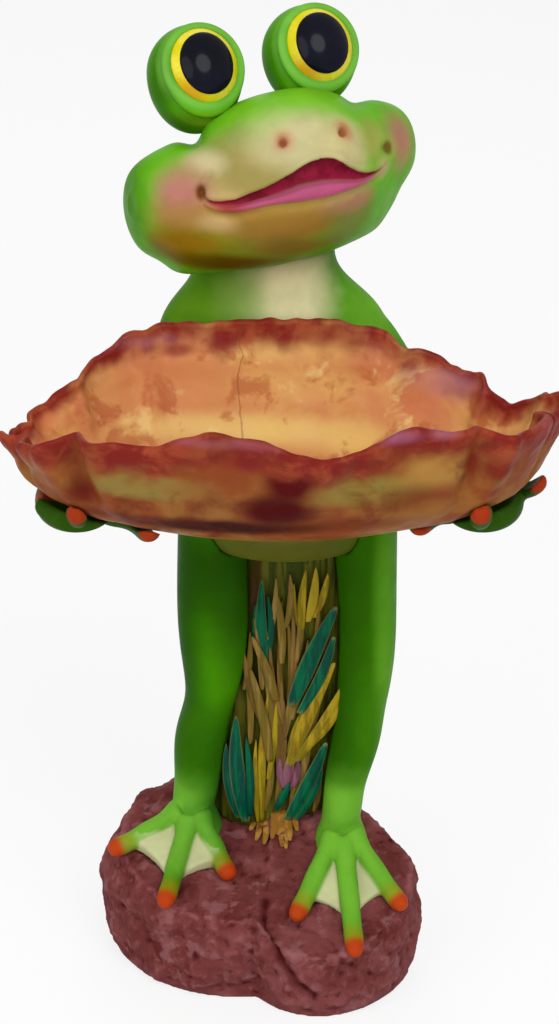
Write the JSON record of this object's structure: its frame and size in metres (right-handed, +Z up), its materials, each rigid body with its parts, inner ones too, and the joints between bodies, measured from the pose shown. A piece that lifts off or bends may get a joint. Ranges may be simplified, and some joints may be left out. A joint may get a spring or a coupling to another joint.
{
  "type": "frog figurine",
  "caption": "Painted resin garden frog that stands upright on a rock, smiles with its head turned and holds out a wide leaf dish on its hands, with reeds moulded between its legs.",
  "frame": {"origin": "on the floor under the middle of the body, on the underside of the base plate", "axes": "+Z up, -Y to the front, where the frog faces, and +X to the viewer's right as one faces the frog"},
  "size_m": [0.2941, 0.2636, 0.5815],
  "materials": {
    "green_skin": "airbrushed gloss paint on resin, lime over deep green, cream on snout, chest and belly",
    "eye_yellow": "gloss yellow paint",
    "eye_black": "clear-coated black",
    "dish_paint": "satin paint, gold mottled with rust, maroon rim",
    "rock_paint": "matt reddish-brown paint on rough resin",
    "reed_paint": "matt dark olive and brown paint",
    "leaf_teal": "matt teal paint",
    "leaf_yellow": "matt golden paint",
    "reed_brown": "matt brown paint",
    "bud_purple": "matt purple paint",
    "plate_resin": "bare cast resin",
    "steel_rod": "plain steel",
    "dowel_wood": "plain hardwood",
    "plug_rubber": "soft black rubber"
  },
  "bodies": {
    "root": {"rock_base": "rock_paint", "base_plate": "plate_resin", "filling_plug": "plug_rubber", "left_leg_rod": "steel_rod", "right_leg_rod": "steel_rod", "left_foot": "green_skin", "right_foot": "green_skin", "left_leg": "green_skin", "right_leg": "green_skin", "torso": "green_skin", "neck_dowel": "dowel_wood", "head": "green_skin", "left_eyeball": "green_skin", "left_iris": "eye_yellow", "left_pupil": "eye_black", "right_eyeball": "green_skin", "right_iris": "eye_yellow", "right_pupil": "eye_black", "dish": "dish_paint", "reed_post": "reed_paint", "teal_leaf_upper_left": "leaf_teal", "teal_leaf_upper_right": "leaf_teal", "teal_leaf_lower_left": "leaf_teal", "teal_leaf_lower_right": "leaf_teal", "yellow_leaf_top": "leaf_yellow", "yellow_leaf_right": "leaf_yellow", "yellow_leaf_left": "leaf_yellow", "brown_reed": "reed_brown", "purple_bud": "bud_purple", "left_upper_arm": "green_skin", "left_forearm": "green_skin", "left_hand": "green_skin", "left_arm_wire": "steel_rod", "left_dish_pin": "steel_rod", "right_upper_arm": "green_skin", "right_forearm": "green_skin", "right_hand": "green_skin", "right_arm_wire": "steel_rod", "right_dish_pin": "steel_rod"}
  },
  "joints": []
}
